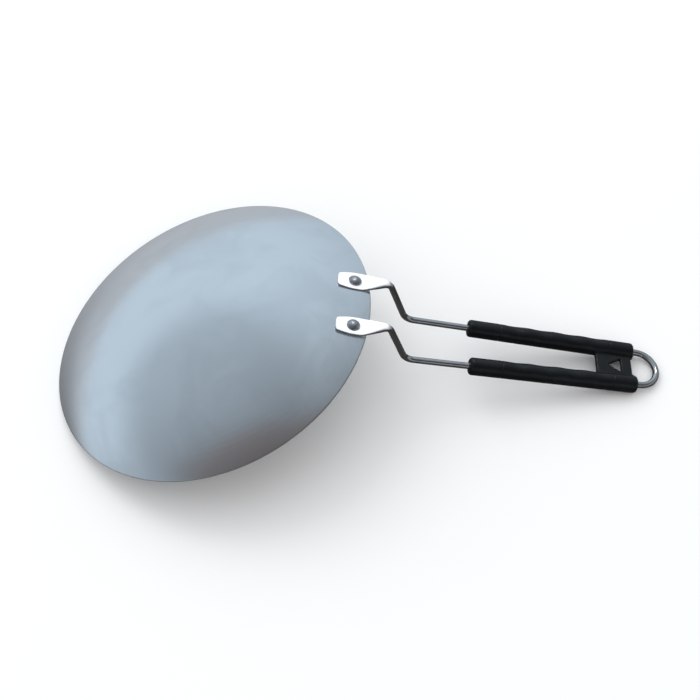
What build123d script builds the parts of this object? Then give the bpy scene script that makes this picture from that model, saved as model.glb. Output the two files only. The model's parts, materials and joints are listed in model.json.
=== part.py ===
"""A round domed pan of sheet aluminium with a long handle of bent wire.

The pan is modelled as it lies on a table, crown up: the rim touches the table opposite the
handle, and the handle's end touches it at the other end. Sizes are given in the pan frame,
whose origin is the centre of the rim circle, with +Z along the dome's axis towards the crown
and +X towards the handle. The plane `pan` carries that frame into the part's own frame: +Z up,
the table at Z = 0, the origin under the middle of the pan's length.
"""

import os
from math import asin, atan2, cos, degrees, hypot, radians, sin, sqrt, tan

from build123d import *

# Dish: a spherical dome of even thickness, its edge trimmed square to the rim circle.
rim_radius = 130.0
dome_height = 39.0
sheet = 2.0
rim_edge = 0.9
rim_round = 0.3

# Handle wire: one steel rod, bent to a long U, with both ends hammered flat.
wire = 5.0
shoulder_x = 144.3
shoulder_y = 20.4
shoulder_z = -2.4
drop_x = 144.4
drop_y = 19.2
drop_z = -46.0
handle_slope = 27.2
leg_to_loop = 204.4
loop_y = 15.4
shoulder_bend = 6.5
drop_bend = 11.0

# Paddles: the flattened ends, riveted to the outside of the dome.
rivet_x = 118.8
rivet_y = 21.0
paddle_end_width = 11.0
paddle_back_width = 15.5
paddle_width = 16.0
paddle_front_width = 15.0
paddle_thickness = 1.7
paddle_back = 13.2
paddle_ahead = 7.0
paddle_gap = 0.1

# Necks: each narrows from its paddle to the wire, which it covers by a little on every side.
neck_shares = (0.35, 0.7)
neck_widths = (13.1, 8.8)
neck_thicknesses = (2.2, 3.6)
neck_cover_width = 0.3
neck_cover_thickness = 0.1
neck_back = 5.5
neck_slope = 13.0
neck_overlap = 0.3

# Rivets: round heads outside, low heads inside.
shank_radius = 2.5
hole_clearance = 0.05
head_radius = 5.3
head_height = 2.5
low_head_radius = 4.8
low_head_height = 1.1
low_head_gap = 0.08

# Grip: one moulding, two sleeves on the wire's legs joined by a flat web with a window.
grip_start = 50.4
grip_length = 135.6
grip_radius = 6.9
grip_end_round = 2.5
bore_clearance = 0.05
groove_width = 1.0
groove_depth = 0.45
front_collar = 25.5
rear_collar = 20.1
finger_count = 4
finger_depth = 0.45
web_thickness = 3.6
web_start = 104.4
web_end = 133.2
web_front_round = 1.0
web_rear_round = 2.4
web_bite = 0.4
web_overlap = 0.5
web_reach = 3.0
window_point = 114.2
window_base = 125.0
window_half_width = 6.8
window_round = 0.7

dome_radius = (rim_radius**2 + dome_height**2) / (2 * dome_height)
dome_centre_z = dome_height - dome_radius
slope = radians(handle_slope)
handle_dir = Vector(cos(slope), 0, -sin(slope))
handle_up = Vector(sin(slope), 0, cos(slope))


def leg_point(along, side):
    """A point `along` millimetres down the handle from its lower bend: on a leg, or between them at side 0."""
    closing = (loop_y - drop_y) * along / leg_to_loop
    return Vector(drop_x, side * (drop_y + closing), drop_z) + handle_dir * along


def touching_tilt(far, far_round, near, near_round):
    """The slope of a table that two rounded corners touch, given the centres of their rounds."""
    reach = near - far
    return atan2(-reach.Z, reach.X) + asin((near_round - far_round) / hypot(reach.X, reach.Z))


# The table touches the far rim and whichever hangs lower, the sleeves' rear ends or the loop.
far_rim = Vector(rim_round - rim_radius, 0, rim_round - rim_edge)
heel = leg_point(grip_start + grip_length - grip_end_round, 0) - handle_up * (grip_radius - grip_end_round)
loop_tip = leg_point(leg_to_loop, 0)
rest_tilt = max(
    touching_tilt(far_rim, rim_round, heel, grip_end_round),
    touching_tilt(far_rim, rim_round, loop_tip, wire / 2),
)
rim_lift = rim_round - far_rim.X * sin(rest_tilt) - far_rim.Z * cos(rest_tilt)
reach_back = rim_radius * cos(rest_tilt)
reach_front = loop_tip.X * cos(rest_tilt) - loop_tip.Z * sin(rest_tilt) + wire / 2
pan = Plane(
    origin=((reach_back - reach_front) / 2, 0, rim_lift),
    x_dir=(cos(rest_tilt), 0, sin(rest_tilt)),
    z_dir=(-sin(rest_tilt), 0, cos(rest_tilt)),
)


def in_pan(plane):
    """A plane given in the pan frame, carried into the part's frame."""
    return Plane(pan * plane)


def to_part(point):
    """A point given in the pan frame, carried into the part's frame."""
    return pan.from_local_coords(Vector(point))


def rivet_plane(side):
    """The plane that touches the dome's outside at a rivet, with its x axis along the paddle."""
    rise = sqrt(dome_radius**2 - rivet_x**2 - rivet_y**2)
    return Plane(
        origin=(rivet_x, side * rivet_y, dome_centre_z + rise),
        x_dir=(rise, 0, -rivet_x),
        z_dir=(rivet_x, side * rivet_y, rise),
    )


def leg_plane(side, along):
    """The plane through a leg's axis, square to the handle: x runs down the leg, y away from the table."""
    leg_dir = leg_point(leg_to_loop, side) - leg_point(0, side)
    return Plane(origin=leg_point(along, side), x_dir=leg_dir, z_dir=leg_dir.cross(handle_up))


def neck_point(side, back=0):
    """Where the flattened end is round wire again, or `back` millimetres before that."""
    before = neck_back + back
    rise = before * tan(radians(neck_slope))
    return Vector(shoulder_x - before, side * shoulder_y, shoulder_z + rise)


def paddle_sections(side):
    """The flattened end's cross planes, each with its width and thickness, from the free end to the neck."""
    seat = rivet_plane(side)
    level = paddle_gap + paddle_thickness / 2
    flat_widths = {
        -paddle_back: paddle_end_width,
        -paddle_back / 3: paddle_back_width,
        paddle_ahead / 3: paddle_width,
        paddle_ahead: paddle_front_width,
    }
    flat_end = seat.from_local_coords((paddle_ahead, 0, level))
    neck = neck_point(side)
    rising = neck - flat_end
    sections = [
        (Plane(seat.from_local_coords((x, 0, level)), seat.y_dir, seat.x_dir), width, paddle_thickness)
        for x, width in flat_widths.items()
    ]
    for share, width, thickness in zip(neck_shares, neck_widths, neck_thicknesses):
        sections.append((Plane(flat_end + rising * share, seat.y_dir, rising), width, thickness))
    neck_end = Plane(neck, seat.y_dir, neck - neck_point(side, 1))
    sections.append((neck_end, wire + neck_cover_width, wire + neck_cover_thickness))
    return sections


def cap_arc(base_radius, base_height, height):
    """Half the outline of a round cap, from its edge to its top on the axis; a negative height hangs down."""
    way = 1 if height > 0 else -1
    radius = (base_radius**2 + height**2) / (2 * abs(height))
    start = degrees(asin((radius - abs(height)) / radius))
    return CenterArc((0, base_height + height - way * radius), radius, way * start, way * (90 - start))


os.makedirs("parts", exist_ok=True)

# Dish.
with BuildPart() as dish:
    with BuildSketch(in_pan(Plane.XZ)):
        with BuildLine():
            outside = cap_arc(rim_radius, 0, dome_height)
            inner_radius = dome_radius - sheet
            inner_start = degrees(asin((-rim_edge - dome_centre_z) / inner_radius))
            inside = CenterArc((0, dome_centre_z), inner_radius, inner_start, 90 - inner_start)
            Polyline(outside @ 0, (rim_radius, -rim_edge), inside @ 0)
            Line(outside @ 1, inside @ 1)
        make_face()
    revolve(axis=Axis(pan.origin, pan.z_dir))
    rim_corners = dish.edges().filter_by(GeomType.CIRCLE).filter_by(lambda edge: edge.radius < rim_radius + 1)
    fillet(rim_corners, rim_round)
    for side in (1, -1):
        with BuildSketch(in_pan(rivet_plane(side))):
            Circle(shank_radius + hole_clearance)
        extrude(amount=2 * sheet, both=True, mode=Mode.SUBTRACT)
dish.part.label = "dish"
export_step(dish.part, "parts/dish.step")

# Handle wire.
with BuildPart() as handle_wire:
    corners = []
    for side in (1, -1):
        shoulder = Vector(shoulder_x, side * shoulder_y, shoulder_z)
        leg = [neck_point(side, neck_overlap), shoulder, leg_point(0, side), leg_point(leg_to_loop, side)]
        corners += [to_part(point) for point in leg[::side]]
    with BuildLine() as route:
        bends = [shoulder_bend, drop_bend, loop_y]
        FilletPolyline(*corners, radius=bends + bends[::-1])
    with BuildSketch(Plane(route.line @ 0, z_dir=route.line % 0)):
        Circle(wire / 2)
    sweep(path=route.line)
    for side in (1, -1):
        for plane, width, thickness in paddle_sections(side):
            with BuildSketch(in_pan(plane)):
                SlotOverall(width, thickness)
        loft(ruled=True)
        with BuildSketch(in_pan(rivet_plane(side))):
            Circle(shank_radius + hole_clearance)
        extrude(amount=2 * wire, both=True, mode=Mode.SUBTRACT)
handle_wire.part.label = "handle_wire"
export_step(handle_wire.part, "parts/handle_wire.step")

# Grip.
with BuildPart() as grip:
    for side in (1, -1):
        sleeve_plane = in_pan(leg_plane(side, grip_start))
        with BuildSketch(sleeve_plane):
            with BuildLine():
                front_groove = front_collar - groove_width / 2
                rear_groove = grip_length - rear_collar - groove_width / 2
                pitch = (rear_groove - front_groove - groove_width) / finger_count
                floor = grip_radius - groove_depth
                CenterArc((grip_end_round, grip_radius - grip_end_round), grip_end_round, 90, 90)
                Line((grip_end_round, grip_radius), (front_groove, grip_radius))
                for start in (front_groove, rear_groove):
                    end = start + groove_width
                    Polyline((start, grip_radius), (start, floor), (end, floor), (end, grip_radius))
                for finger in range(finger_count):
                    start = front_groove + groove_width + finger * pitch
                    valley = (start + pitch / 2, grip_radius - finger_depth)
                    ThreePointArc((start, grip_radius), valley, (start + pitch, grip_radius))
                rear_round = grip_length - grip_end_round
                Line((rear_groove + groove_width, grip_radius), (rear_round, grip_radius))
                CenterArc((rear_round, grip_radius - grip_end_round), grip_end_round, 0, 90)
                Polyline(
                    (grip_length, grip_radius - grip_end_round),
                    (grip_length, 0),
                    (0, 0),
                    (0, grip_radius - grip_end_round),
                )
            make_face()
        revolve(axis=Axis(sleeve_plane.origin, sleeve_plane.x_dir))
    web_plane = Plane(leg_point(grip_start, 0), handle_dir, handle_up).offset(-web_thickness / 2)
    with BuildSketch(in_pan(web_plane)):
        with BuildLine():
            hidden = web_rear_round + web_overlap
            inner_y = leg_point(grip_start + web_end, 1).Y - grip_radius + web_bite
            outer_y = inner_y + web_reach
            half = [
                (web_start, inner_y),
                (web_start - hidden, inner_y),
                (web_start - hidden, outer_y),
                (web_end + hidden, outer_y),
                (web_end + hidden, inner_y),
                (web_end, inner_y),
            ]
            other_half = [(x, -y) for x, y in reversed(half)]
            rounds = [web_front_round, 0, 0, 0, 0, web_rear_round]
            FilletPolyline(*half, *other_half, radius=rounds + rounds[::-1], close=True)
        make_face()
        with BuildLine():
            window = [(window_point, 0), (window_base, window_half_width), (window_base, -window_half_width)]
            FilletPolyline(*window, radius=window_round, close=True)
        make_face(mode=Mode.SUBTRACT)
    extrude(amount=web_thickness)
    for side in (1, -1):
        bore_plane = in_pan(leg_plane(side, grip_start))
        with BuildSketch(Plane(bore_plane.origin, z_dir=bore_plane.x_dir)):
            Circle(wire / 2 + bore_clearance)
        extrude(amount=2 * grip_length, both=True, mode=Mode.SUBTRACT)
grip.part.label = "grip"
export_step(grip.part, "parts/grip.step")

# Rivets.
for name, side in (("rivet_right", 1), ("rivet_left", -1)):
    seat = in_pan(rivet_plane(side))
    seat_top = paddle_gap + paddle_thickness
    seat_low = -sheet - low_head_gap
    with BuildPart() as rivet:
        with BuildSketch(Plane(seat.origin, seat.x_dir, -seat.y_dir)):
            with BuildLine():
                head = cap_arc(head_radius, seat_top, head_height)
                low_head = cap_arc(low_head_radius, seat_low, -low_head_height)
                Polyline(head @ 0, (shank_radius, seat_top), (shank_radius, seat_low), low_head @ 0)
                Line(head @ 1, low_head @ 1)
            make_face()
        revolve(axis=Axis(seat.origin, seat.z_dir))
    rivet.part.label = name
    export_step(rivet.part, f"parts/{name}.step")
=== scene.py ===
import json
import math

import bpy
import numpy as np
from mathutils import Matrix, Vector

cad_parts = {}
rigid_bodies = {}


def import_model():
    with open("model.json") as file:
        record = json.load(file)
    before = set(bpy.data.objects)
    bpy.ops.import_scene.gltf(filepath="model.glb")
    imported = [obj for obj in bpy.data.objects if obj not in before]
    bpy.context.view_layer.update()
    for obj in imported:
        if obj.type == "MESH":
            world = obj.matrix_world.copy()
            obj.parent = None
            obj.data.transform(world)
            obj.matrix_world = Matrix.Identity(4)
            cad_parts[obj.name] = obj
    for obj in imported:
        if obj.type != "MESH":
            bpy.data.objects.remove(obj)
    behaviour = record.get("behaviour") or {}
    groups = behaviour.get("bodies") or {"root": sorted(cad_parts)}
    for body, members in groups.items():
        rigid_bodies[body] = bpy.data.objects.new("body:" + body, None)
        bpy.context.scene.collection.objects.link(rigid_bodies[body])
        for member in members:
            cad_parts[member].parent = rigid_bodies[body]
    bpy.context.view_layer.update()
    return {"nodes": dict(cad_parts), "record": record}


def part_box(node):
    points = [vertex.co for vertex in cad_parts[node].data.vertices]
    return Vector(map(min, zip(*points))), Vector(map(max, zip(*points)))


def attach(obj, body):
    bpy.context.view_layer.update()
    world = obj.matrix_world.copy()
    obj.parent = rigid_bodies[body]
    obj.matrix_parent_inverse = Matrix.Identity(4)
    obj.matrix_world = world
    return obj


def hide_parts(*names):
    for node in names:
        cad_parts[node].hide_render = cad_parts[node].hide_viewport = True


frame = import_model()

bl_info = {
    "name": "Domed Griddle Pan",
    "version": (1, 0, 0),
    "blender": (4, 5, 0),
    "location": "3D View > Sidebar > Pan",
    "description": "Finished surfaces, materials and a plain studio for a domed pan with a riveted wire handle",
    "category": "Add Mesh",
}

MOUNTS = {mount["name"]: mount for mount in frame["record"]["mounts"]}
ACROSS = np.array((0.0, 1.0, 0.0))
CROWN = -np.array(MOUNTS["rim_face"]["axis"])
TOWARD_HANDLE = np.cross(ACROSS, CROWN)
TILT = math.atan2(TOWARD_HANDLE[2], TOWARD_HANDLE[0])
DISH_LOW, DISH_HIGH = (np.array(corner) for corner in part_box("dish"))
RIM_RADIUS = float(DISH_HIGH[1] - DISH_LOW[1]) / 2

# How finely the surfaces are divided: points along a profile or route, and columns round it.
DISH_POINTS, DISH_COLUMNS = 120, 256
WIRE_STEP, WIRE_COLUMNS = 0.0006, 32
SLEEVE_POINTS, SLEEVE_COLUMNS = 520, 64
WEB_ANGLES, WEB_EDGE_POINTS, WEB_FLAT_POINTS = 480, 6, 9
HEAD_POINTS, HEAD_COLUMNS = 18, 48
OUTLINE_STEP = 0.00005
EDGE_TURN = math.radians(15)
POLE_ANGLE, HEAD_POLE_ANGLE = 0.0004, 0.002
TIGHT_ROUND, POINT_ROUND, POINT_HALF_WIDTH, WEB_BEND = 0.00005, 0.0005, 0.0004, 0.9

# Where the wire counts as pressed: from this sine of the angle round the section, and this much flat width. The
# pressed faces get a painted highlight in the wire's material.
PRESSED_FROM, PRESSED_STEEPNESS, PRESSED_WIDTH = 0.6, 4, 0.001


# ---------------------------------------------------------------- sizes and colours


def a_length(name, description, default):
    """A length that the sidebar shows; the next five do the same for the other kinds of value."""
    return bpy.props.FloatProperty(name=name, description=description, default=default, unit="LENGTH")


def a_place(name, description, default):
    return bpy.props.FloatVectorProperty(name=name, description=description, default=default, unit="LENGTH")


def an_angle(name, description, degrees):
    return bpy.props.FloatProperty(
        name=name, description=description, default=math.radians(degrees), subtype="ANGLE", unit="ROTATION"
    )


def a_share(name, description, default):
    return bpy.props.FloatProperty(name=name, description=description, default=default, subtype="FACTOR")


def a_power(name, description, default):
    return bpy.props.FloatProperty(name=name, description=description, default=default, unit="POWER")


def a_colour(name, description, default):
    return bpy.props.FloatVectorProperty(name=name, description=description, default=default, subtype="COLOR")


class PanDishSizes(bpy.types.PropertyGroup):
    rim_radius: a_length("Rim radius", "Radius of the dish's rim", RIM_RADIUS)
    dome_height: a_length("Dome height", "Height of the crown above the rim", 0.039)
    sheet: a_length("Sheet", "Thickness of the dish's metal", 0.002)
    rim_edge: a_length("Rim edge", "Height of the rim's upright cut edge", 0.0009)
    rim_round: a_length("Rim rounding", "Radius on the rim's corners", 0.0003)
    skin: a_length("Skin", "How far the finished dome stays inside the nominal one", 0.00001)
    seat_inset: a_length("Seat inset", "How far inside the rim the rim_face mount lies", 0.00115)


class PanWireSizes(bpy.types.PropertyGroup):
    diameter: a_length("Wire", "Diameter of the handle's wire", 0.005)
    rivet_x: a_length("Rivet distance", "Distance of the rivets from the dish's axis, along the handle", 0.1188)
    rivet_y: a_length("Rivet offset", "Sideways distance of each rivet from the middle", 0.021)
    paddle_back: a_length("Paddle end", "Length of a paddle behind its rivet", 0.0132)
    paddle_ahead: a_length("Paddle flat", "Length of a paddle's flat part ahead of its rivet", 0.007)
    paddle_gap: a_length("Paddle gap", "Gap between a paddle and the dish", 0.0001)
    paddle_width: a_length("Paddle width", "Greatest width of a paddle", 0.0155)
    paddle_end_width: a_length("Paddle end width", "Width of a paddle's free end", 0.0112)
    paddle_thickness: a_length("Paddle thickness", "Thickness of the flattened wire", 0.0017)
    paddle_length: a_length("Paddle length", "Length over which the wire is flattened", 0.0405)
    paddle_parallel: a_length(
        "Paddle body", "Distance from the free end to where a paddle starts to close in", 0.0175
    )
    paddle_corner: a_length("Paddle corner", "Radius on the corners of a paddle's free end", 0.0020)
    paddle_edge: a_length("Paddle edge", "Radius along a paddle's edges", 0.0006)
    shoulder: a_place("Shoulder", "Corner of the upper bend in the dish's own axes", (0.1443, 0.0204, -0.0024))
    drop: a_place("Drop", "Corner of the lower bend in the dish's own axes", (0.1444, 0.0192, -0.046))
    slope: an_angle("Handle slope", "Slope of the handle below the rim's plane", 27.2)
    leg_to_loop: a_length("Leg length", "Length from the lower bend to the end of the loop", 0.2044)
    loop_y: a_length("Loop radius", "Half the distance between the legs at the loop", 0.0154)
    shoulder_bend: a_length("Upper bend", "Radius of the upper bend", 0.0065)
    drop_bend: a_length("Lower bend", "Radius of the lower bend", 0.011)
    neck_bend: a_length("Neck bend", "Radius where a paddle's flat turns down to the upper bend", 0.016)
    paddle_opening: a_share("Paddle opening", "Share of the paddle's body over which it widens", 0.8)
    paddle_taper: bpy.props.FloatProperty(
        name="Paddle taper", description="Power of the curve by which a paddle closes in to the wire", default=1.3
    )


class PanGripSizes(bpy.types.PropertyGroup):
    start: a_length("Start", "Distance from the lower bend to the grip", 0.0504)
    length: a_length("Length", "Length of each sleeve", 0.1356)
    radius: a_length("Radius", "Radius of each sleeve", 0.0069)
    end_round: a_length("End rounding", "Radius on the sleeves' ends", 0.0025)
    groove_width: a_length("Groove width", "Width of the two ring grooves", 0.001)
    groove_depth: a_length("Groove depth", "Depth of the two ring grooves", 0.00045)
    front_collar: a_length("Front collar", "Length of the plain collar in front", 0.0255)
    rear_collar: a_length("Rear collar", "Length of the plain collar behind", 0.0201)
    finger_count: bpy.props.IntProperty(
        name="Finger hollows", description="Number of finger hollows in each sleeve", default=4
    )
    finger_depth: a_length("Finger depth", "Depth of the finger hollows on top", 0.0006)
    finger_reach: a_share("Finger reach", "How far past the sides the hollows run, as a share of the depth", 0.15)
    bore_clearance: a_length("Bore clearance", "Gap between a sleeve's bore and the wire", 0.00005)
    web_thickness: a_length("Web thickness", "Thickness of the web between the sleeves", 0.0036)
    web_start: a_length("Web start", "Distance from the grip's start to the web", 0.1044)
    web_end: a_length("Web end", "Distance from the grip's start to the web's rear edge", 0.1332)
    web_front_round: a_length("Web front rounding", "Radius where the web's front edge meets the sleeves", 0.0010)
    web_rear_round: a_length("Web rear rounding", "Radius where the web's rear edge meets the sleeves", 0.0024)
    window_point: a_length("Window point", "Distance from the grip's start to the window's point", 0.1142)
    window_base: a_length("Window base", "Distance from the grip's start to the window's base", 0.1250)
    window_half_width: a_length("Window half width", "Half the width of the window's base", 0.0068)
    window_round: a_length("Window rounding", "Radius in the window's corners", 0.0009)
    edge_round: a_length("Edge rounding", "Radius on the web's edges", 0.0006)
    web_flare: a_length("Web flare", "Radius by which the web thickens into the sleeves", 0.0012)
    web_bite: a_length("Web bite", "How far the web runs into the sleeves", 0.0022)
    window_middle: a_share("Window middle", "Where the web's pattern of lines meets, from the base", 0.38)


class PanRivetSizes(bpy.types.PropertyGroup):
    shank_radius: a_length("Shank radius", "Radius of a rivet's shank", 0.0025)
    head_radius: a_length("Head radius", "Radius of a rivet's outer head", 0.0053)
    head_height: a_length("Head height", "Height of a rivet's outer head", 0.0025)
    low_head_radius: a_length("Inner head radius", "Radius of a rivet's inner head", 0.0048)
    low_head_height: a_length("Inner head height", "Height of a rivet's inner head", 0.0011)
    low_head_gap: a_length("Inner head gap", "Gap between the inner head and the dish", 0.00008)
    edge_round: a_length("Edge rounding", "Radius on the heads' edges", 0.00035)


class PanFinishes(bpy.types.PropertyGroup):
    dish_colour: a_colour("Dish", "Colour of the aluminium", (0.80, 0.82, 0.84))
    dish_roughness: a_share("Dish roughness", "Roughness of the turned aluminium", 0.20)
    wire_colour: a_colour("Wire", "Colour of the plated wire", (0.56, 0.56, 0.56))
    # The paddles' colour is a painted highlight: it makes the wire's pressed faces nearly white.
    paddle_painted_highlight: a_colour("Paddles", "Colour of the wire's pressed faces", (0.93, 0.93, 0.94))
    wire_roughness: a_share("Wire roughness", "Roughness of the plated wire", 0.13)
    grip_colour: a_colour("Grip", "Colour of the moulded plastic", (0.0035, 0.0040, 0.0045))
    grip_roughness: a_share("Grip roughness", "Roughness of the moulded plastic", 0.27)
    rivet_colour: a_colour("Rivets", "Colour of the rivets' dull metal", (0.44, 0.44, 0.46))
    rivet_roughness: a_share("Rivet roughness", "Roughness of the rivets", 0.36)


class PanStudio(bpy.types.PropertyGroup):
    target: a_place("Target", "Point that the camera looks at", (-0.0064, -0.0134, 0.040))
    distance: a_length("Distance", "Distance of the camera from its target", 0.8455)
    azimuth: an_angle("Azimuth", "Turn of the camera round the pan, from straight in front", 1.85)
    elevation: an_angle("Elevation", "Height of the camera above the horizon", 54.49)
    lens: bpy.props.FloatProperty(
        name="Lens", description="Focal length in millimetres on a 36 mm sensor", default=56.57
    )
    key_power: a_power("Key light", "Power of the overhead softbox", 172.0)
    key_size: a_length("Key size", "Width of the overhead softbox", 9.0)
    key_height: a_length("Key height", "Distance of the overhead softbox", 1.7)
    window_power: a_power("Window light", "Power of the softbox in the window's direction", 7.0)
    handle_power: a_power("Handle light", "Power of the small softbox that glints on the handle alone", 4.0)
    window_azimuth: an_angle(
        "Window azimuth", "Direction of the window, from the handle's side round to the back", 131.0
    )
    window_elevation: an_angle("Window elevation", "Height of the window above the horizon", 30.0)
    front_tint: a_colour("Front tint", "What the room's light is multiplied by in front", (0.86, 0.68, 0.61))
    window_colour: a_colour("Window", "Colour of the window's light", (0.60, 0.715, 0.82))
    dark_colour: a_colour("Dark side", "Colour of the room's dark side", (0.074, 0.069, 0.066))
    room_strength: bpy.props.FloatProperty(
        name="Room", description="Strength of the room's light", default=1.0
    )
    floor_colour: a_colour("Floor", "Colour of the floor", (0.955, 0.93, 0.905))


# ---------------------------------------------------------------- places in the dish's own axes


def rim_centre(dish):
    """The middle of the rim circle, worked back from the rim_face mount."""
    seat = np.array(MOUNTS["rim_face"]["pos_m"])
    return seat - TOWARD_HANDLE * (dish.rim_radius - dish.seat_inset) + CROWN * dish.rim_edge


def placed(points, dish):
    """Points in the dish's own axes (towards the handle, across, towards the crown), put in the frame."""
    return rim_centre(dish) + np.asarray(points, float) @ np.stack((TOWARD_HANDLE, ACROSS, CROWN))


def dome_curve(dish):
    """The dome's outer radius and the height of its centre, from the rim radius and the height."""
    radius = (dish.rim_radius**2 + dish.dome_height**2) / (2 * dish.dome_height)
    return radius, dish.dome_height - radius


def rivet_axes(dish, wire, side):
    """The point of the dome under a rivet, with the directions along the paddle, across it and outwards."""
    radius, centre = dome_curve(dish)
    point = np.array((wire.rivet_x, side * wire.rivet_y, 0.0))
    rise = math.sqrt(radius**2 - point @ point)
    outward = np.array((point[0], point[1], rise)) / radius
    along = np.array((rise, 0.0, -point[0]))
    along /= np.linalg.norm(along)
    return point + (0, 0, centre + rise), along, np.cross(outward, along), outward


def handle_axes(wire):
    """The directions down the handle and square to it, away from the table."""
    down = np.array((math.cos(wire.slope), 0.0, -math.sin(wire.slope)))
    return down, np.array((-down[2], 0.0, down[0]))


def leg_point(wire, along, side):
    """A point on one leg's axis, `along` from the lower bend; the legs close in evenly towards the loop."""
    down, _ = handle_axes(wire)
    spread = wire.drop[1] + (wire.loop_y - wire.drop[1]) * along / wire.leg_to_loop
    return np.array((wire.drop[0], side * spread, wire.drop[2])) + down * along


# ---------------------------------------------------------------- surfaces


def smooth_step(x):
    """0 up to 0, 1 from 1 on, and 3x^2 - 2x^3 between."""
    x = np.clip(x, 0.0, 1.0)
    return x * x * (3 - 2 * x)


def inset_of_round(distance, radius):
    """How far a quarter round of that radius stands back at a distance from the edge that it rounds."""
    left = radius - np.clip(distance, 0.0, radius)
    return radius - np.sqrt(radius**2 - left**2)


def rounded_route(corners, radii, turn=math.radians(4)):
    """Straight runs between corners, joined by arcs of the given radii that touch both runs."""
    corners = [np.asarray(corner, float) for corner in corners]
    pieces = [corners[0][None]]
    for before, corner, after, radius in zip(corners, corners[1:], corners[2:], radii):
        back = (before - corner) / np.linalg.norm(before - corner)
        ahead = (after - corner) / np.linalg.norm(after - corner)
        half = math.acos(float(np.clip(back @ ahead, -1, 1))) / 2
        centre = corner + (back + ahead) / np.linalg.norm(back + ahead) * radius / math.sin(half)
        first = corner + back * radius / math.tan(half) - centre
        last = corner + ahead * radius / math.tan(half) - centre
        swept = math.pi - 2 * half
        share = np.linspace(0, 1, max(3, math.ceil(swept / turn) + 1))[:, None]
        arc = (np.sin((1 - share) * swept) * first + np.sin(share * swept) * last) / math.sin(swept)
        pieces.append(centre + arc)
    pieces.append(corners[-1][None])
    return np.concatenate(pieces)


def spaced(points, step):
    """The same route with points evenly spaced along it, and each point's distance from the start."""
    runs = np.linalg.norm(np.diff(points, axis=0), axis=1)
    reached = np.concatenate(((0.0,), np.cumsum(runs)))
    distance = np.linspace(0.0, reached[-1], math.ceil(reached[-1] / step) + 1)
    return np.stack([np.interp(distance, reached, column) for column in points.T], axis=1), distance


def grid_object(name, points, rows_close=False, columns_close=True, caps=(False, False)):
    """A smooth mesh over a grid of points, its faces turned outwards. A cap closes the first or last row by a fan."""
    rows, columns = points.shape[:2]
    vertices = points.reshape(-1, 3)
    index = np.arange(rows * columns).reshape(rows, columns)
    here = index if rows_close else index[:-1]
    there = np.roll(index, -1, axis=0) if rows_close else index[1:]
    quads = np.stack((here, np.roll(here, -1, 1), np.roll(there, -1, 1), there), axis=-1)
    if not columns_close:
        quads = quads[:, :-1]
    faces = quads.reshape(-1, 4).tolist()
    fans = []
    for row, wanted, order in ((0, caps[0], 1), (-1, caps[1], -1)):
        if wanted:
            middle = len(vertices)
            vertices = np.concatenate((vertices, points[row].mean(axis=0)[None]))
            ring = index[row]
            fan = np.stack((np.roll(ring, -1), ring, np.full(columns, middle)), axis=-1)
            fans.append(fan[:, ::order])
    triangles = [np.array(faces)[:, [0, 1, 2]], np.array(faces)[:, [0, 2, 3]], *fans]
    corners = vertices[np.concatenate(triangles)]
    volume = np.einsum("ij,ij->i", corners[:, 0], np.cross(corners[:, 1], corners[:, 2])).sum()
    faces += [triangle for fan in fans for triangle in fan.tolist()]
    if volume < 0:
        faces = [face[::-1] for face in faces]
    mesh = bpy.data.meshes.new(name)
    mesh.from_pydata(vertices.tolist(), [], faces)
    mesh.shade_smooth()
    if mesh.validate():
        raise RuntimeError(f"{name} has broken faces")
    piece = bpy.data.objects.new(name, mesh)
    bpy.context.scene.collection.objects.link(piece)
    return piece


def turned(radius, height, origin, axis, start, segments):
    """A profile carried round an axis: rows follow the profile's radii and heights, columns go round from `start`.
    A radius with one value for each column makes a form that isn't round."""
    angle = columns_round(segments)
    spoke = np.cos(angle)[:, None] * start + np.sin(angle)[:, None] * np.cross(axis, start)
    return origin + radius[..., None] * spoke + height[:, None, None] * axis


def columns_round(segments):
    """The angles of the columns of a turned form, half a step off the start so that no corner stands proud."""
    return (np.arange(segments) + 0.5) * 2 * math.pi / segments


def finish_piece(piece, material, slot, *nodes):
    """Gives a piece its material and its body, and hides the CAD nodes that it stands for. The slot is not used."""
    piece.data.materials.append(material)
    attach(piece, "root")
    if nodes:
        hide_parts(*nodes)


# ---------------------------------------------------------------- shader nodes


def put(tree, kind, inputs=None, **settings):
    """Adds a node with its settings; an input is a value, or a socket to link from."""
    node = tree.nodes.new(kind)
    for name, value in settings.items():
        setattr(node, name, value)
    for name, value in (inputs or {}).items():
        if isinstance(value, bpy.types.NodeSocket):
            tree.links.new(value, node.inputs[name])
        else:
            node.inputs[name].default_value = value
    return node


def math_node(tree, operation, first, second=0.0):
    """The result of one step of arithmetic."""
    return put(tree, "ShaderNodeMath", {0: first, 1: second}, operation=operation).outputs[0]


def between(tree, value, low, high):
    """Carries 0 to 1 into low to high."""
    return put(tree, "ShaderNodeMapRange", {"Value": value, "To Min": low, "To Max": high}).outputs["Result"]


def new_group(name, inputs, outputs):
    """An empty node group with float or vector sockets, and its two end nodes."""
    group = bpy.data.node_groups.new(name, "ShaderNodeTree")
    for label, kind, default in inputs:
        socket = group.interface.new_socket(name=label, in_out="INPUT", socket_type=kind)
        if default is not None:
            socket.default_value = default
    for label in outputs:
        group.interface.new_socket(name=label, in_out="OUTPUT", socket_type="NodeSocketFloat")
    return group, group.nodes.new("NodeGroupInput"), group.nodes.new("NodeGroupOutput")


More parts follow.
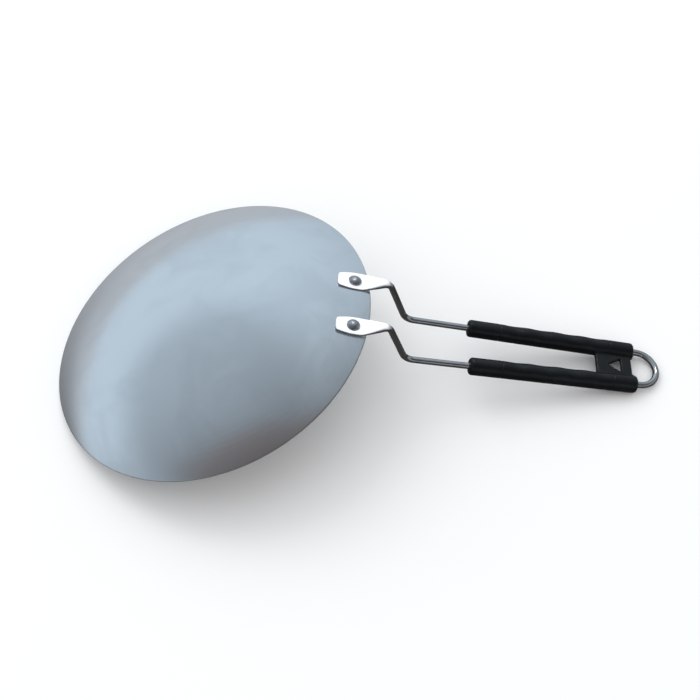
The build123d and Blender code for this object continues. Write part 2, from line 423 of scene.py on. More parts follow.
def ring_marks_group():
    """Fine rings about the Z axis of the given coordinates, as a lathe tool leaves them, broken up along their
    length: Height is for a bump and Tone runs from 0 to 1 over broad bands of the same rings."""
    if "ring_marks" in bpy.data.node_groups:
        return bpy.data.node_groups["ring_marks"]
    group, given, out = new_group(
        "ring_marks",
        (
            ("Vector", "NodeSocketVector", None),
            ("Pitch", "NodeSocketFloat", 0.0006),
            ("Band", "NodeSocketFloat", 0.01),
        ),
        ("Height", "Tone"),
    )
    flat = put(group, "ShaderNodeVectorMath", {0: given.outputs["Vector"], 1: (1, 1, 0)}, operation="MULTIPLY")
    radius = put(group, "ShaderNodeVectorMath", {0: flat.outputs[0]}, operation="LENGTH").outputs["Value"]
    fine = put(
        group, "ShaderNodeTexNoise",
        {"W": math_node(group, "DIVIDE", radius, given.outputs["Pitch"]), "Scale": 1.0, "Detail": 3.0},
        noise_dimensions="1D",
    )
    band = put(
        group, "ShaderNodeTexNoise",
        {"W": math_node(group, "DIVIDE", radius, given.outputs["Band"]), "Scale": 1.0, "Detail": 2.0},
        noise_dimensions="1D",
    )
    patches = put(group, "ShaderNodeTexNoise", {"Vector": given.outputs["Vector"], "Scale": 45.0, "Detail": 2.0})
    worn = between(group, patches.outputs["Fac"], 0.25, 1.0)
    group.links.new(math_node(group, "MULTIPLY", fine.outputs["Fac"], worn), out.inputs["Height"])
    group.links.new(band.outputs["Fac"], out.inputs["Tone"])
    return group


def smudges_group():
    """Soft handling marks: Mask is 0 on clean metal or plastic and 1 in the middle of a smudge."""
    if "smudges" in bpy.data.node_groups:
        return bpy.data.node_groups["smudges"]
    group, given, out = new_group(
        "smudges", (("Vector", "NodeSocketVector", None), ("Size", "NodeSocketFloat", 0.03)), ("Mask",)
    )
    scale = math_node(group, "DIVIDE", 1.0, given.outputs["Size"])
    cloud = put(
        group, "ShaderNodeTexNoise",
        {"Vector": given.outputs["Vector"], "Scale": scale, "Detail": 4.0, "Roughness": 0.55, "Distortion": 0.6},
    )
    mask = put(
        group, "ShaderNodeMapRange", {"Value": cloud.outputs["Fac"], "From Min": 0.42, "From Max": 0.68},
        interpolation_type="SMOOTHSTEP",
    )
    group.links.new(mask.outputs["Result"], out.inputs["Mask"])
    return group


def grain_group():
    """Fine even grain: Height is for a bump, as spark-eroded moulds and hammered heads have it."""
    if "fine_grain" in bpy.data.node_groups:
        return bpy.data.node_groups["fine_grain"]
    group, given, out = new_group(
        "fine_grain", (("Vector", "NodeSocketVector", None), ("Size", "NodeSocketFloat", 0.0005)), ("Height",)
    )
    scale = math_node(group, "DIVIDE", 1.0, given.outputs["Size"])
    grain = put(
        group, "ShaderNodeTexNoise", {"Vector": given.outputs["Vector"], "Scale": scale, "Detail": 3.0}
    )
    group.links.new(grain.outputs["Fac"], out.inputs["Height"])
    return group


def new_material(name):
    """A material with its Principled shader, and object coordinates to lay patterns on."""
    material = bpy.data.materials.new(name)
    material.use_nodes = True
    tree = material.node_tree
    shader = tree.nodes["Principled BSDF"]
    coordinates = tree.nodes.new("ShaderNodeTexCoord")
    return material, tree, shader, coordinates.outputs["Object"]


def mixed_colour(tree, factor, first, second):
    """The first colour where the factor is 0, the second where it is 1."""
    node = put(
        tree, "ShaderNodeMix", {"Factor": factor, "A": (*first, 1.0), "B": (*second, 1.0)}, data_type="RGBA"
    )
    return node.outputs["Result"]


def placed_group(tree, group, inputs):
    """A shared effect placed in a material with its own values."""
    return put(tree, "ShaderNodeGroup", inputs, node_tree=group)


def scaled(colour, share):
    """The colour with each channel multiplied by the share, which may be over 1."""
    return tuple(channel * share for channel in colour)


def dent(tree, shader, height, strength, depth):
    """Lets a height bend the shader's normal."""
    bump = put(tree, "ShaderNodeBump", {"Strength": strength, "Distance": depth, "Height": height})
    tree.links.new(bump.outputs["Normal"], shader.inputs["Normal"])


def turned_aluminium(finishes, dish):
    """Satin aluminium turned on a lathe: fine rings about the dish's axis and a few soft smudges."""
    material, tree, shader, place = new_material("turned_aluminium")
    centre = rim_centre(dish)
    turn = np.stack((TOWARD_HANDLE, ACROSS, CROWN))
    on_axis = put(
        tree, "ShaderNodeMapping", {"Vector": place, "Location": tuple(-turn @ centre), "Rotation": (0, TILT, 0)}
    ).outputs["Vector"]
    rings = placed_group(tree, ring_marks_group(), {"Vector": on_axis, "Pitch": 0.0028, "Band": 0.014})
    smudge = placed_group(tree, smudges_group(), {"Vector": on_axis, "Size": 0.05}).outputs["Mask"]
    colour = tuple(finishes.dish_colour)
    dulled = scaled(colour, 0.94)
    tree.links.new(mixed_colour(tree, smudge, colour, dulled), shader.inputs["Base Color"])
    base = finishes.dish_roughness
    banded = between(tree, rings.outputs["Tone"], base - 0.04, base + 0.04)
    rough = math_node(tree, "ADD", banded, between(tree, smudge, 0.0, 0.05))
    tree.links.new(rough, shader.inputs["Roughness"])
    dent(tree, shader, rings.outputs["Height"], 0.05, 0.0005)
    shader.inputs["Metallic"].default_value = 1.0
    return material


def plated_wire(finishes):
    """Bright plating over drawn steel, a little cloudy; its pressed faces are satin and barely metallic,
    with a painted highlight that makes them nearly white.
    """
    material, tree, shader, place = new_material("plated_wire")
    smudge = placed_group(tree, smudges_group(), {"Vector": place, "Size": 0.012}).outputs["Mask"]
    grain = placed_group(tree, grain_group(), {"Vector": place, "Size": 0.0009}).outputs["Height"]
    pressed = put(tree, "ShaderNodeAttribute", attribute_name="pressed").outputs["Fac"]
    colour = tuple(finishes.wire_colour)
    cloudy = scaled(colour, 0.85)
    plated = mixed_colour(tree, smudge, colour, cloudy)
    # Painted highlight: the pressed faces are painted nearly white, a little dimmer where smudged.
    painted_highlight = tuple(finishes.paddle_painted_highlight)
    rubbed_and_sheen = mixed_colour(tree, smudge, painted_highlight, scaled(painted_highlight, 0.93))
    whole = put(tree, "ShaderNodeMix", {"Factor": pressed}, data_type="RGBA")
    tree.links.new(plated, whole.inputs["A"])
    tree.links.new(rubbed_and_sheen, whole.inputs["B"])
    tree.links.new(whole.outputs["Result"], shader.inputs["Base Color"])
    base = finishes.wire_roughness
    worn = between(tree, smudge, base - 0.03, base + 0.08)
    tree.links.new(math_node(tree, "ADD", worn, between(tree, pressed, 0.0, 0.3)), shader.inputs["Roughness"])
    tree.links.new(between(tree, pressed, 1.0, 0.15), shader.inputs["Metallic"])
    dent(tree, shader, grain, 0.05, 0.0002)
    return material


def moulded_plastic(finishes):
    """Black plastic from a lightly textured mould, rubbed smoother in patches."""
    material, tree, shader, place = new_material("moulded_plastic")
    smudge = placed_group(tree, smudges_group(), {"Vector": place, "Size": 0.016}).outputs["Mask"]
    grain = placed_group(tree, grain_group(), {"Vector": place, "Size": 0.0006}).outputs["Height"]
    colour = tuple(finishes.grip_colour)
    rubbed_and_sheen = scaled(colour, 1.8)
    tree.links.new(mixed_colour(tree, smudge, colour, rubbed_and_sheen), shader.inputs["Base Color"])
    base = finishes.grip_roughness
    tree.links.new(between(tree, smudge, base + 0.05, base - 0.06), shader.inputs["Roughness"])
    dent(tree, shader, grain, 0.2, 0.0002)
    shader.inputs["Specular IOR Level"].default_value = 0.32
    return material


def dull_rivet_metal(finishes):
    """Dull grey metal with the dents of the rivet set."""
    material, tree, shader, place = new_material("dull_rivet_metal")
    smudge = placed_group(tree, smudges_group(), {"Vector": place, "Size": 0.004}).outputs["Mask"]
    grain = placed_group(tree, grain_group(), {"Vector": place, "Size": 0.0016}).outputs["Height"]
    colour = tuple(finishes.rivet_colour)
    dark = scaled(colour, 0.7)
    tree.links.new(mixed_colour(tree, smudge, colour, dark), shader.inputs["Base Color"])
    base = finishes.rivet_roughness
    tree.links.new(between(tree, smudge, base - 0.05, base + 0.12), shader.inputs["Roughness"])
    dent(tree, shader, grain, 0.35, 0.0004)
    shader.inputs["Metallic"].default_value = 1.0
    return material


# ---------------------------------------------------------------- stage

WHITE = (1.0, 1.0, 1.0, 1.0)
FLOOR_REACH = 4.0
# The floor's painted glow rises from nothing near the pan to full white between these distances.
FADE_TO_WHITE = (0.35, 1.1)  # distances from the pan
# The floor that metal mirrors, a painted reflection that glows: the way it gets lighter, between which places along
# that way, and its lit colour.
LIT_SIDE, LIT_SIDE_RANGE, LIT_FLOOR = (-0.5, 0.85, 0), (-0.05, 0.30), (0.50, 0.53, 0.57)
# The room, by direction: a spread is two cosines from a patch's middle, a top or foot two heights.
WINDOW_SPREAD = (-0.23, 0.95)
WALL_TOP, WALL_LIGHT = (0.66, 0.46), 0.5
STREAK_TOP, STREAK_SIDE, STREAK_LIGHT = (0.55, 0.25), (-0.3, -1.0), 0.17
CEILING_PATCH, CEILING_SPREAD, CEILING_LOSS = (math.radians(-170), math.radians(59)), (0.68, 0.90), 0.32
BACK_OF_DARK_SIDE, DARK_SIDE_EDGE, DARK_SIDE_FOOT, RAGGEDNESS = (-0.25, 1, 0), (-0.22, -0.33), (0.45, 0.65), 0.06
# Lamps: azimuth and elevation, or elevation alone, with distance and width.
OVERHEAD = (math.radians(90), math.radians(90))
WINDOW_LAMP_ELEVATION, WINDOW_LAMP_DISTANCE, WINDOW_LAMP_WIDTH = math.radians(50), 2.0, 1.0
GLINT, GLINT_DISTANCE, GLINT_WIDTH = (math.radians(80), math.radians(54)), 1.5, 0.3


def heading(azimuth, elevation):
    """The unit vector towards that azimuth, from the handle's side round to the back, and elevation."""
    flat = math.cos(elevation)
    return flat * math.cos(azimuth), flat * math.sin(azimuth), math.sin(elevation)


# ---------------------------------------------------------------- operators


class PAN_OT_dish(bpy.types.Operator):
    """The dish: a spherical dome of even thickness with a squared rim"""

    bl_idname = "pan.dish"
    bl_label = "Dish"

    def execute(self, context):
        """The profile runs down the outer sphere, round the rim's three corners and up the inner sphere to the
        axis again; it is carried once round the dish's axis."""
        dish = context.scene.pan_dish
        radius, centre = dome_curve(dish)
        inner = radius - dish.sheet
        radius -= dish.skin
        rim_radius = dish.rim_radius - dish.skin
        reach = math.asin(rim_radius / radius)
        outer_angle = np.linspace(POLE_ANGLE, reach, DISH_POINTS)
        outside = np.stack((np.sin(outer_angle), np.cos(outer_angle)), 1) * radius + (0, centre)
        foot = math.acos((-dish.rim_edge - centre) / inner)
        inner_angle = np.linspace(foot, POLE_ANGLE, DISH_POINTS)
        inside = np.stack((np.sin(inner_angle), np.cos(inner_angle)), 1) * inner + (0, centre)
        corners = [outside[-2], outside[-1], (rim_radius, -dish.rim_edge), inside[0], inside[1]]
        rim = rounded_route(corners, [dish.rim_round] * 3, turn=EDGE_TURN)
        profile = np.concatenate((outside[:-2], rim, inside[2:]))
        points = turned(profile[:, :1], profile[:, 1], rim_centre(dish), CROWN, TOWARD_HANDLE, DISH_COLUMNS)
        piece = grid_object("dish_shell", points, caps=(True, True))
        finish_piece(piece, turned_aluminium(context.scene.pan_finishes, dish), "dish_metal", "dish")
        return {"FINISHED"}


class PAN_OT_handle_wire(bpy.types.Operator):
    """The handle's wire with its two flattened ends, bends, legs and hanging loop"""

    bl_idname = "pan.handle_wire"
    bl_label = "Handle wire"

    def execute(self, context):
        """A rounded rectangle carried along the wire's route. Its half width, half height and corner radius follow
        the distance from the nearer free end: thin and wide on the paddles, a circle on the wire."""
        dish, wire = context.scene.pan_dish, context.scene.pan_wire
        half = self.half_route(dish, wire)
        mirrored = half[::-1] * (1, -1, 1)
        route, distance = spaced(np.concatenate((half, mirrored[1:])), WIRE_STEP)
        from_end = np.minimum(distance, distance[-1] - distance)
        tangent = np.gradient(route, axis=0)
        tangent /= np.linalg.norm(tangent, axis=1)[:, None]
        normal, side = self.section_axes(wire, route, tangent)
        width, height, corner, flat = self.section_sizes(wire, from_end)
        angle = columns_round(WIRE_COLUMNS)
        cosine, sine = np.cos(angle), np.sin(angle)
        x = np.sign(cosine) * (width - corner)[:, None] + corner[:, None] * cosine
        z = np.sign(sine) * (height - corner)[:, None] + corner[:, None] * sine
        points = route[:, None] + side[:, None] * x[..., None] + normal[:, None] * z[..., None]
        piece = grid_object("wire_rod", placed(points, dish), caps=(True, True))
        # This mask marks the flat faces, where the material paints a highlight.
        faces_out = smooth_step((np.abs(sine) - PRESSED_FROM) * PRESSED_STEEPNESS)
        pressed = smooth_step(flat / PRESSED_WIDTH)[:, None] * faces_out
        pressed = np.concatenate((pressed.ravel(), (0.0, 0.0)))
        piece.data.attributes.new("pressed", "FLOAT", "POINT").data.foreach_set("value", pressed)
        finish_piece(piece, plated_wire(context.scene.pan_finishes), "wire_metal", "handle_wire")
        return {"FINISHED"}

    def half_route(self, dish, wire):
        """From a paddle's free end over the shoulder and the drop to the tip of the loop."""
        foot, along, _, outward = rivet_axes(dish, wire, 1)
        level = foot + outward * (wire.paddle_gap + wire.paddle_thickness / 2)
        shoulder, drop = np.array(wire.shoulder), np.array(wire.drop)
        corners = [
            level - along * wire.paddle_back,
            level + along * wire.paddle_ahead,
            shoulder,
            drop,
            leg_point(wire, wire.leg_to_loop, 1),
            leg_point(wire, wire.leg_to_loop, 0),
        ]
        bends = [wire.neck_bend, wire.shoulder_bend, wire.drop_bend, wire.loop_y]
        return rounded_route(corners, bends)

    def section_axes(self, wire, route, tangent):
        """The section's height lies square to the wire, in the handle's upright planes. Where the wire turns across
        the handle, in the loop, it changes smoothly to the handle's own upward direction."""
        _, up = handle_axes(wire)
        raised = np.cross(tangent, ACROSS) * np.where(route[:, 1:2] > 0, 1, -1)
        in_loop = smooth_step(np.abs(tangent[:, 1:2]) * 4 - 0.5)
        normal = raised * (1 - in_loop) + up * in_loop
        normal -= tangent * np.einsum("ij,ij->i", normal, tangent)[:, None]
        normal /= np.linalg.norm(normal, axis=1)[:, None]
        return normal, np.cross(tangent, normal)

    def section_sizes(self, wire, from_end):
        """Half width, half height and corner radius at each distance from the free end. The leaf widens as a
        quarter sine wave, then narrows to the wire as a power of the share of the taper that is passed."""
        body, edge = wire.paddle_parallel, wire.paddle_edge
        closing = np.clip((from_end - body) / (wire.paddle_length - body), 0, 1)
        round_wire = smooth_step(closing)
        corner = edge + (wire.diameter / 2 - edge) * round_wire
        height = wire.paddle_thickness / 2 * (1 - round_wire) + wire.diameter / 2 * round_wire
        opening = np.sin(np.clip(from_end / (wire.paddle_opening * body), 0, 1) * math.pi / 2)
        leaf = wire.paddle_end_width + (wire.paddle_width - wire.paddle_end_width) * opening
        leaf -= (leaf - wire.diameter) * closing**wire.paddle_taper
        end_inset = inset_of_round(from_end, edge)
        width = np.maximum(leaf / 2 - inset_of_round(from_end, wire.paddle_corner), corner) - end_inset
        return width, height - end_inset, np.maximum(corner - end_inset, edge / 8), width - corner


class PAN_OT_grip(bpy.types.Operator):
    """The moulded grip: two sleeves with finger hollows and the web between them"""

    bl_idname = "pan.grip"
    bl_label = "Grip"

    def execute(self, context):
        """Makes both sleeves and the web of the same plastic."""
        plastic = moulded_plastic(context.scene.pan_finishes)
        for name, side in (("grip_sleeve_right", 1), ("grip_sleeve_left", -1)):
            finish_piece(self.sleeve(context.scene, name, side), plastic, "grip_plastic", "grip")
        finish_piece(self.web(context.scene), plastic, "grip_plastic", "grip")
        return {"FINISHED"}

    def sleeve(self, scene, name, side):
        """A closed profile carried round the leg's axis: out over the front end, along the sleeve, over the two ring
        grooves, in over the rear end and back along the bore. Between the grooves the radius dips by an even wave.
        Its depth follows the cosine of the angle from the top plus the finger reach, held between 0 and 1, so it is
        full over the top and ends just past the sides."""
        dish, wire, grip = scene.pan_dish, scene.pan_wire, scene.pan_grip
        first, last = leg_point(wire, 0, side), leg_point(wire, wire.leg_to_loop, side)
        axis = (last - first) / np.linalg.norm(last - first)
        start = leg_point(wire, grip.start, side)
        _, up = handle_axes(wire)
        up = up - axis * (up @ axis)
        along = np.linspace(0, grip.length, SLEEVE_POINTS)
        ends = np.minimum(along, grip.length - along)
        radius = grip.radius - inset_of_round(ends, grip.end_round)
        front, rear = grip.front_collar, grip.length - grip.rear_collar
        for groove in (front, rear):
            off = np.abs(along - groove) / (grip.groove_width / 2)
            radius -= grip.groove_depth * smooth_step(2 - 2 * off)
        fingered = (along > front) & (along < rear)
        wave = (1 - np.cos((along - front) / (rear - front) * grip.finger_count * 2 * math.pi)) / 2 * fingered
        on_top = np.clip(np.cos(columns_round(SLEEVE_COLUMNS)) + grip.finger_reach, 0, 1)
        outside = radius[:, None] - grip.finger_depth * wave[:, None] * on_top
        bore = np.full((1, SLEEVE_COLUMNS), wire.diameter / 2 + grip.bore_clearance)
        grid = np.concatenate((bore, outside, bore, bore))
        height = np.concatenate(((0.0,), along, (grip.length, grip.length / 2)))
        points = turned(grid, height, start, axis, up / np.linalg.norm(up), SLEEVE_COLUMNS)
        return grid_object(name, placed(points, dish), rows_close=True)

    def web(self, scene):
        """A flat rounded bar carried round the window: at each angle about the window's middle it runs from the
        window's outline to the web's, thickens where it meets the sleeves and is rounded at both edges."""
        dish, wire, grip = scene.pan_dish, scene.pan_wire, scene.pan_grip
        sleeve_y = leg_point(wire, grip.start + (grip.web_start + grip.web_end) / 2, 1)[1]
        meets = sleeve_y - grip.radius
        middle = grip.window_base - (grip.window_base - grip.window_point) * grip.window_middle
        angle = np.linspace(-math.pi, math.pi, WEB_ANGLES, endpoint=False)
        front, rear, hidden = grip.web_front_round, grip.web_rear_round, meets + grip.web_bite
        half = [
            (grip.web_start, 0),
            (grip.web_start, meets),
            (grip.web_start - front, meets),
            (grip.web_start - front, hidden),
            (grip.web_end + rear, hidden),
            (grip.web_end + rear, meets),
            (grip.web_end, meets),
            (grip.web_end, 0),
        ]
        bends = [front * WEB_BEND, *[TIGHT_ROUND] * 4, rear * WEB_BEND]
        outer = self.outline_at(angle, middle, rounded_route(half, bends))
        window = [
            (grip.window_point, 0),
            (grip.window_point, POINT_HALF_WIDTH),
            (grip.window_base, grip.window_half_width),
            (grip.window_base, 0),
        ]
        inner = self.outline_at(angle, middle, rounded_route(window, [POINT_ROUND, grip.window_round]))
        edge = grip.edge_round
        quarter = np.linspace(0, math.pi / 2, WEB_EDGE_POINTS)
        inset = edge * (1 - np.cos(quarter))
        width = np.linalg.norm(outer - inner, axis=1)[:, None]
        across = np.concatenate(
            (
                np.broadcast_to(inset, (len(angle), WEB_EDGE_POINTS)),
                edge + (width - 2 * edge) * np.linspace(0.1, 0.9, WEB_FLAT_POINTS),
                width - inset[::-1],
            ),
            axis=1,
        )
        drop = edge * (1 - np.sin(quarter))
        lowered = np.concatenate((drop, np.zeros(WEB_FLAT_POINTS), drop[::-1]))
        flat = inner[:, None] + (outer - inner)[:, None] * (across / width)[..., None]
        out = np.abs(flat[..., 1])
        reach = grip.web_flare / 2
        flare = inset_of_round(np.maximum(meets + reach - out, 0), grip.web_flare)
        flare = np.where(out > meets - reach, flare, 0)
        top = grip.web_thickness / 2 - lowered + flare
        down, up = handle_axes(wire)
        start = leg_point(wire, grip.start, 0)
        plan = start + flat[..., :1] * down + flat[..., 1:] * ACROSS
        upper = plan + top[..., None] * up
        lower = plan - top[..., None] * up
        points = np.concatenate((upper, lower[:, ::-1]), axis=1)
        return grid_object("grip_web", placed(points, dish), rows_close=True)

    def outline_at(self, angle, middle, half):
        """The points of a two-sided outline round the window's middle at the given angles."""
        half, _ = spaced(half, OUTLINE_STEP)
        offset = half - (middle, 0)
        at = np.arctan2(offset[:, 1], offset[:, 0])
        order = np.argsort(at, kind="stable")
        radius = np.interp(np.abs(angle), at[order], np.linalg.norm(offset, axis=1)[order])
        return np.stack((middle + radius * np.cos(angle), radius * np.sin(angle)), axis=1)


class PAN_OT_rivets(bpy.types.Operator):
    """The two rivets that hold the paddles to the dish"""

    bl_idname = "pan.rivets"
    bl_label = "Rivets"

    def execute(self, context):
        """A profile carried round the rivet's axis: over the round head, in under it, down the shank and over the
        low head inside the dish."""
        scene = context.scene
        dish, wire, rivet = scene.pan_dish, scene.pan_wire, scene.pan_rivet
        metal = dull_rivet_metal(scene.pan_finishes)
        top = wire.paddle_gap + wire.paddle_thickness
        low = -dish.sheet - rivet.low_head_gap
        head = self.cap(rivet.head_radius, top, rivet.head_height, rivet.edge_round)
        inner_head = self.cap(rivet.low_head_radius, low, -rivet.low_head_height, rivet.edge_round)[::-1]
        shank = np.array(((rivet.shank_radius, top), (rivet.shank_radius, low)))
        profile = np.concatenate((head, shank, inner_head))
        for name, side in (("rivet_right", 1), ("rivet_left", -1)):
            foot, along, _, outward = rivet_axes(dish, wire, side)
            points = turned(profile[:, :1], profile[:, 1], foot, outward, along, HEAD_COLUMNS)
            piece = grid_object(f"{name}_head", placed(points, dish), caps=(True, True))
            finish_piece(piece, metal, "rivet_metal", name)
        return {"FINISHED"}

    def cap(self, radius, base, height, edge):
        """Half a round cap's outline from its top to its seat, with its rim rounded."""
        way = math.copysign(1, height)
        ball = (radius**2 + height**2) / (2 * abs(height))
        reach = math.asin(radius / ball)
        angle = np.linspace(HEAD_POLE_ANGLE, reach, HEAD_POINTS)
        arc = np.stack((np.sin(angle) * ball, base + height - way * ball * (1 - np.cos(angle))), axis=1)
        rim = rounded_route([arc[-2], arc[-1], (radius - 2 * edge, base)], [edge * 0.5], turn=EDGE_TURN)
        return np.concatenate((arc[:-2], rim))


class PAN_OT_stage(bpy.types.Operator):
    """The floor, the room's light, the lamps and the camera"""

    bl_idname = "pan.stage"
    bl_label = "Stage"

    def execute(self, context):
        """Builds the stage round the pieces that are there."""
        scene = context.scene
        studio = scene.pan_studio
        self.floor(scene, studio)
        self.room(scene, studio)
        self.lights(scene, studio)
        self.camera(scene, studio)
        scene.view_settings.view_transform = "Standard"
        return {"FINISHED"}

    def floor(self, scene, studio):
        """A white sheet with a painted glow that rises to full white away from the pan. Mirrored in metal it is a
        dimmer glowing floor instead, a painted reflection, dark in front and lighter towards the window."""
        material, tree, shader, place = new_material("pale_floor")
        shader.inputs["Base Color"].default_value = (*studio.floor_colour, 1.0)
        shader.inputs["Roughness"].default_value = 0.9
        away = put(tree, "ShaderNodeVectorMath", {0: place}, operation="LENGTH").outputs["Value"]
        # Painted light: the floor glows, more the farther it is from the pan.
        glow = self.ramp(tree, away, *FADE_TO_WHITE, "SMOOTHSTEP")
        glowing = put(tree, "ShaderNodeEmission", {"Color": WHITE, "Strength": glow}).outputs[0]
        sheet = put(tree, "ShaderNodeAddShader", {0: shader.outputs[0], 1: glowing})
        toward = put(tree, "ShaderNodeVectorMath", {0: place, 1: LIT_SIDE}, operation="DOT_PRODUCT")
        share = self.ramp(tree, toward.outputs["Value"], *LIT_SIDE_RANGE, "SMOOTHSTEP")
        mirrored = mixed_colour(tree, share, tuple(studio.dark_colour), LIT_FLOOR)
        # What metal mirrors is painted light: a glow, dark in front and lighter towards the window, not the lit
        # floor.
        dull = put(tree, "ShaderNodeEmission", {"Color": mirrored})
        path = tree.nodes.new("ShaderNodeLightPath")
        inputs = {0: path.outputs["Is Camera Ray"], 1: shader.outputs[0], 2: sheet.outputs[0]}
        seen = put(tree, "ShaderNodeMixShader", inputs)
        inputs = {0: path.outputs["Is Glossy Ray"], 1: seen.outputs[0], 2: dull.outputs[0]}
        mix = put(tree, "ShaderNodeMixShader", inputs)
        tree.links.new(mix.outputs[0], tree.nodes["Material Output"].inputs["Surface"])
        mesh = bpy.data.meshes.new("floor")
        corners = [(x * FLOOR_REACH, y * FLOOR_REACH, 0) for x, y in ((-1, -1), (1, -1), (1, 1), (-1, 1))]
        mesh.from_pydata(corners, [], [(0, 1, 2, 3)])
        mesh.materials.append(material)
        floor = bpy.data.objects.new("floor", mesh)
        scene.collection.objects.link(floor)

    def ramp(self, tree, value, start, end, shape="LINEAR"):
        """0 before start and 1 after end."""
        inputs = {"Value": value, "From Min": start, "From Max": end}
        return put(tree, "ShaderNodeMapRange", inputs, interpolation_type=shape).outputs["Result"]

    def room(self, scene, studio):
        """Bluish window light from behind on the left, a dimmed patch of ceiling, and a tinted dark side high up in
        front. Low down, the walls are never darker than half lit, and a brighter streak lies on the left. The camera
        sees plain white instead."""
        world = bpy.data.worlds.new("room")
        scene.world = world
        world.use_nodes = True
        tree = world.node_tree
        way = put(tree, "ShaderNodeTexCoord").outputs["Generated"]
        parts = put(tree, "ShaderNodeSeparateXYZ", {"Vector": way}).outputs
        window = self.facing(tree, way, studio.window_azimuth, studio.window_elevation)
        daylight = self.ramp(tree, window, *WINDOW_SPREAD, "SMOOTHSTEP")
        wall = math_node(tree, "MULTIPLY", self.ramp(tree, parts["Z"], *WALL_TOP, "SMOOTHSTEP"), WALL_LIGHT)
        daylight = math_node(tree, "MAXIMUM", daylight, wall)
        low = self.ramp(tree, parts["Z"], *STREAK_TOP, "SMOOTHSTEP")
        left = self.ramp(tree, parts["X"], *STREAK_SIDE)
        streak = math_node(tree, "MULTIPLY", math_node(tree, "MULTIPLY", low, left), STREAK_LIGHT)
        level = math_node(tree, "ADD", daylight, streak)
        colour = mixed_colour(tree, level, tuple(studio.dark_colour), tuple(studio.window_colour))
        ceiling = self.facing(tree, way, *CEILING_PATCH)
        patch = math_node(tree, "MULTIPLY", self.ramp(tree, ceiling, *CEILING_SPREAD, "SMOOTHSTEP"), CEILING_LOSS)
        edge = put(tree, "ShaderNodeVectorMath", {0: way, 1: BACK_OF_DARK_SIDE}, operation="DOT_PRODUCT")
        ragged = put(tree, "ShaderNodeTexNoise", {"Vector": way, "Scale": 5.0, "Detail": 2.0}).outputs["Fac"]
        edge = math_node(tree, "ADD", edge.outputs["Value"], between(tree, ragged, -RAGGEDNESS, RAGGEDNESS))
        shaded = self.ramp(tree, edge, *DARK_SIDE_EDGE, "SMOOTHSTEP")
        shaded = math_node(tree, "MULTIPLY", shaded, self.ramp(tree, parts["Z"], *DARK_SIDE_FOOT, "SMOOTHSTEP"))
        inputs = {"Factor": shaded, "A": colour, "B": (*studio.front_tint, 1.0)}
        tinted = put(tree, "ShaderNodeMix", inputs, data_type="RGBA", blend_type="MULTIPLY").outputs["Result"]
        background = tree.nodes["Background"]
        tree.links.new(tinted, background.inputs["Color"])
        kept = math_node(tree, "SUBTRACT", 1.0, patch)
        tree.links.new(math_node(tree, "MULTIPLY", kept, studio.room_strength), background.inputs["Strength"])
        plain = put(tree, "ShaderNodeBackground", {"Color": WHITE}).outputs[0]
        path = tree.nodes.new("ShaderNodeLightPath")
        inputs = {0: path.outputs["Is Camera Ray"], 1: background.outputs[0], 2: plain}
        seen = put(tree, "ShaderNodeMixShader", inputs)
        tree.links.new(seen.outputs[0], tree.nodes["World Output"].inputs["Surface"])

    def facing(self, tree, way, azimuth, elevation):
        """The cosine of the angle between a direction and the one at that azimuth and elevation."""
        toward = heading(azimuth, elevation)
        return put(tree, "ShaderNodeVectorMath", {0: way, 1: toward}, operation="DOT_PRODUCT").outputs["Value"]

    def softbox(self, scene, name, azimuth, elevation, distance, size, power):
        """A square lamp that faces the middle of the pan from that direction."""
        light = bpy.data.lights.new(name, "AREA")
        light.shape = "SQUARE"
        light.size = size
        light.energy = power
        lamp = bpy.data.objects.new(name, light)
        lamp.location = np.array(heading(azimuth, elevation)) * distance
        lamp.rotation_euler = (math.pi / 2 - elevation, 0, azimuth + math.pi / 2)
        lamp.visible_camera = False
        scene.collection.objects.link(lamp)
        return lamp

    def lights(self, scene, studio):
        """A wide lamp overhead and a smaller one on the window's side, neither of them mirrored by any piece, and a
        third one that lights only the handle and its rivets."""
        overhead = self.softbox(
            scene, "overhead_softbox", *OVERHEAD, studio.key_height, studio.key_size, studio.key_power
        )
        window = self.softbox(
            scene, "window_softbox", studio.window_azimuth, WINDOW_LAMP_ELEVATION, WINDOW_LAMP_DISTANCE,
            WINDOW_LAMP_WIDTH, studio.window_power,
        )
        for lamp in (overhead, window):
            lamp.visible_glossy = False
        glint = self.softbox(scene, "handle_glint", *GLINT, GLINT_DISTANCE, GLINT_WIDTH, studio.handle_power)
        receivers = bpy.data.collections.new("handle_pieces")
        for piece in scene.objects:
            if piece.name.startswith(("wire_", "grip_", "rivet_")) and piece.name not in frame["nodes"]:
                receivers.objects.link(piece)
        glint.light_linking.receiver_collection = receivers

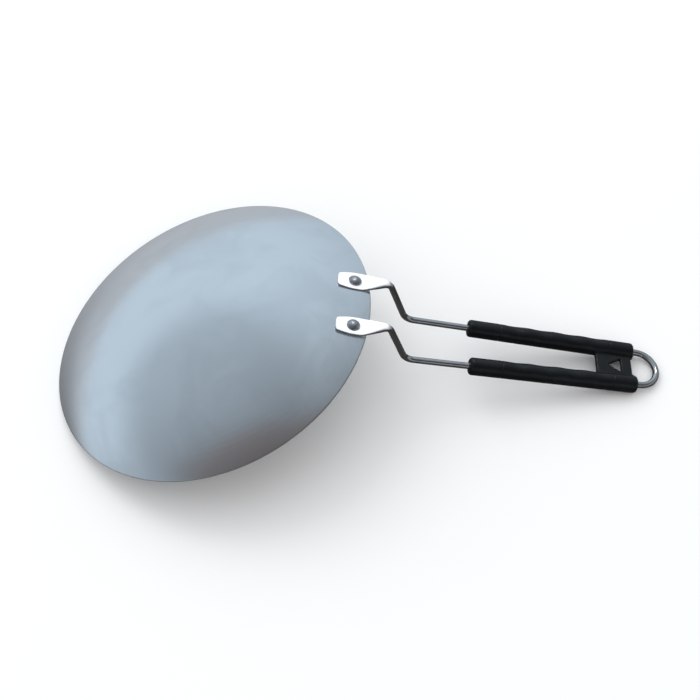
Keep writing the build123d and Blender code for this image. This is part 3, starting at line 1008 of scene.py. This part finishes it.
    def camera(self, scene, studio):
        """A camera that looks at the target from its azimuth, elevation and distance."""
        data = bpy.data.cameras.new("camera")
        data.sensor_width = 36.0
        data.lens = studio.lens
        data.clip_start = 0.01
        camera = bpy.data.objects.new("camera", data)
        height, turn = studio.elevation, studio.azimuth
        away = np.array(
            (math.cos(height) * math.sin(turn), -math.cos(height) * math.cos(turn), math.sin(height))
        )
        camera.location = np.array(studio.target) + away * studio.distance
        camera.rotation_euler = (math.pi / 2 - height, 0, turn)
        scene.collection.objects.link(camera)
        scene.camera = camera


class PAN_PT_panel(bpy.types.Panel):
    """Lists the pan's pieces and their sizes"""

    bl_idname = "PAN_PT_panel"
    bl_label = "Domed Griddle Pan"
    bl_space_type = "VIEW_3D"
    bl_region_type = "UI"
    bl_category = "Pan"

    def draw(self, context):
        """A button for each operator, then each group's values in a box."""
        for operator in OPERATORS:
            self.layout.operator(operator.bl_idname)
        for name in GROUPS:
            box = self.layout.box()
            settings = getattr(context.scene, name)
            for key in settings.bl_rna.properties.keys():
                if key not in ("rna_type", "name"):
                    box.prop(settings, key)


OPERATORS = (PAN_OT_dish, PAN_OT_handle_wire, PAN_OT_grip, PAN_OT_rivets, PAN_OT_stage)
GROUPS = {
    "pan_dish": PanDishSizes,
    "pan_wire": PanWireSizes,
    "pan_grip": PanGripSizes,
    "pan_rivet": PanRivetSizes,
    "pan_finishes": PanFinishes,
    "pan_studio": PanStudio,
}


def register():
    """Adds the classes, and each group of values to the scene."""
    for group in GROUPS.values():
        bpy.utils.register_class(group)
    for cls in (*OPERATORS, PAN_PT_panel):
        bpy.utils.register_class(cls)
    for name, group in GROUPS.items():
        setattr(bpy.types.Scene, name, bpy.props.PointerProperty(type=group))


def unregister():
    """Takes away what register added."""
    for name in GROUPS:
        delattr(bpy.types.Scene, name)
    for cls in (PAN_PT_panel, *reversed(OPERATORS), *reversed(GROUPS.values())):
        bpy.utils.unregister_class(cls)


def main():
    """Builds the pan and its stage."""
    register()
    bpy.ops.pan.dish()
    bpy.ops.pan.handle_wire()
    bpy.ops.pan.grip()
    bpy.ops.pan.rivets()
    bpy.ops.pan.stage()


if __name__ == "__main__":
    main()
